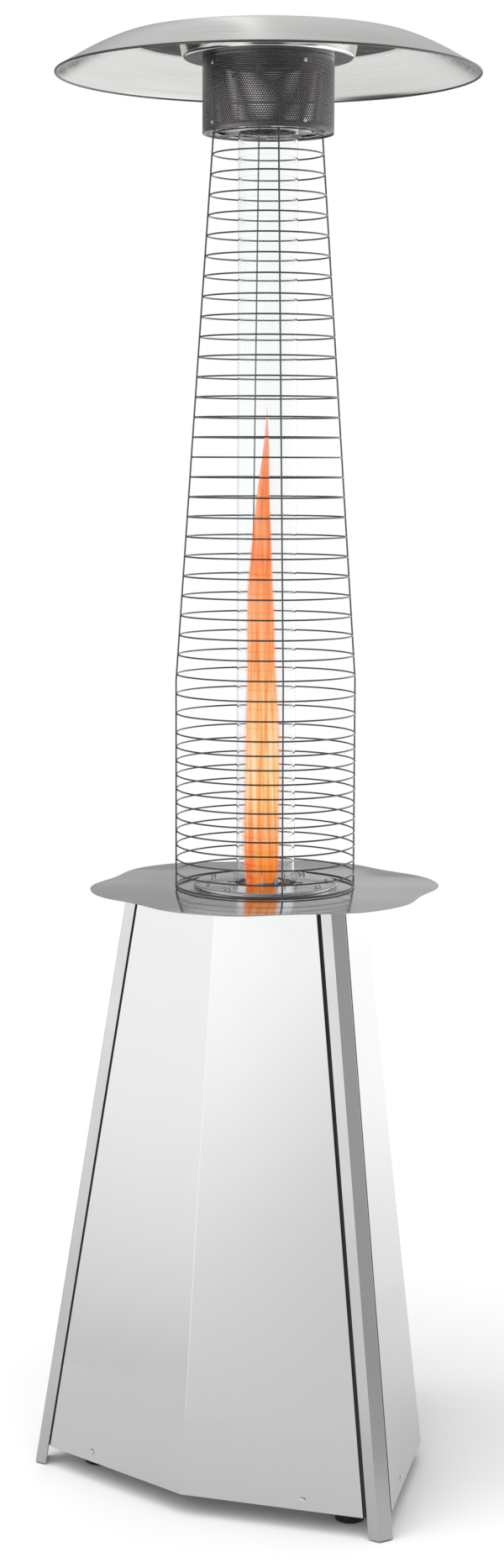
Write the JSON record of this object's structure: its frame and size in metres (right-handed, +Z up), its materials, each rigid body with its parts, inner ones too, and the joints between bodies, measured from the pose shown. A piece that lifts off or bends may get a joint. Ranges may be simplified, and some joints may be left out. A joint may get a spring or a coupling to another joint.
{
  "type": "outdoor heater",
  "caption": "Free-standing gas patio heater: three-cornered sheet-steel base with a rear door, lobed table, flame tube in a ringed wire guard, perforated head and wide reflector.",
  "frame": {"origin": "on the floor, at the middle of the bounding box; the flame tube's axis stands 23.75 mm behind it", "axes": "+Z up along the flame tube, -Y towards the front corner post, +X to the right; the bottle door and the controls face +Y"},
  "size_m": [0.711, 0.758, 2.4718],
  "materials": {
    "stainless_panel": "polished",
    "brushed_post": "brushed",
    "table_steel": "satin",
    "reflector_steel": "brushed",
    "dish_chrome": "polished",
    "guard_wire": "polished",
    "head_perforated": "perforated",
    "inner_steel": "satin",
    "fittings": "satin",
    "brass_parts": "satin",
    "black_plastic": "satin",
    "rubber_parts": "matte",
    "porcelain": "glazed",
    "quartz_glass": "clear"
  },
  "bodies": {
    "heater": {"base_plate": "inner_steel", "corner_post_front": "brushed_post", "foot_front": "rubber_parts", "corner_post_right": "brushed_post", "foot_right": "rubber_parts", "corner_post_left": "brushed_post", "foot_left": "rubber_parts", "panel_left": "stainless_panel", "panel_right": "stainless_panel", "top_plate": "inner_steel", "hinge_barrel_lower": "fittings", "hinge_barrel_upper": "fittings", "door_magnet": "black_plastic", "gas_valve": "brass_parts", "gas_inlet": "brass_parts", "tilt_switch": "black_plastic", "igniter_body": "black_plastic", "control_fascia": "stainless_panel", "table_top": "table_steel", "burner_box": "inner_steel", "burner_deck": "fittings", "burner_head": "inner_steel", "venturi": "inner_steel", "burner_bracket": "inner_steel", "injector": "brass_parts", "pilot_burner": "inner_steel", "thermocouple": "inner_steel", "spark_electrode": "porcelain", "gas_pipe": "brass_parts", "tube_seat": "inner_steel", "tube_gasket": "rubber_parts", "glass_tube": "quartz_glass", "tube_clip_right": "fittings", "tube_clip_left": "fittings", "wire_guard": "guard_wire", "head_plate": "inner_steel", "head_cylinder": "head_perforated", "reflector_dish": "dish_chrome", "reflector": "reflector_steel", "reflector_stud_front": "fittings", "reflector_stud_right": "fittings", "reflector_stud_back": "fittings", "reflector_stud_left": "fittings"},
    "door": {"rear_door": "stainless_panel", "hinge_pin_lower": "fittings", "hinge_pin_upper": "fittings", "door_handle": "fittings"},
    "stem": {"valve_stem": "fittings"},
    "knob": {"control_knob": "black_plastic"},
    "igniter": {"igniter_button": "rubber_parts"}
  },
  "joints": [
    {"name": "rear_door_hinge", "type": "hinge", "parent": "heater", "child": "door", "pos_m": [-0.29654, 0.22928, 0.17087], "axis": [0.1377, -0.0795, 0.9873], "range_deg": [0, 105]},
    {"name": "knob_push", "type": "slide", "parent": "heater", "child": "stem", "axis": [-0.2098, -0.9718, -0.1075], "range_m": [0, 0.004], "stiffness_N_per_m": 900},
    {"name": "knob_turn", "type": "hinge", "parent": "stem", "child": "knob", "pos_m": [0.0606, 0.18987, 0.945], "axis": [0.2098, 0.9718, 0.1075], "range_deg": [0, 210]},
    {"name": "igniter_press", "type": "slide", "parent": "heater", "child": "igniter", "axis": [0.2098, -0.9718, -0.1075], "range_m": [0, 0.004], "stiffness_N_per_m": 600}
  ]
}
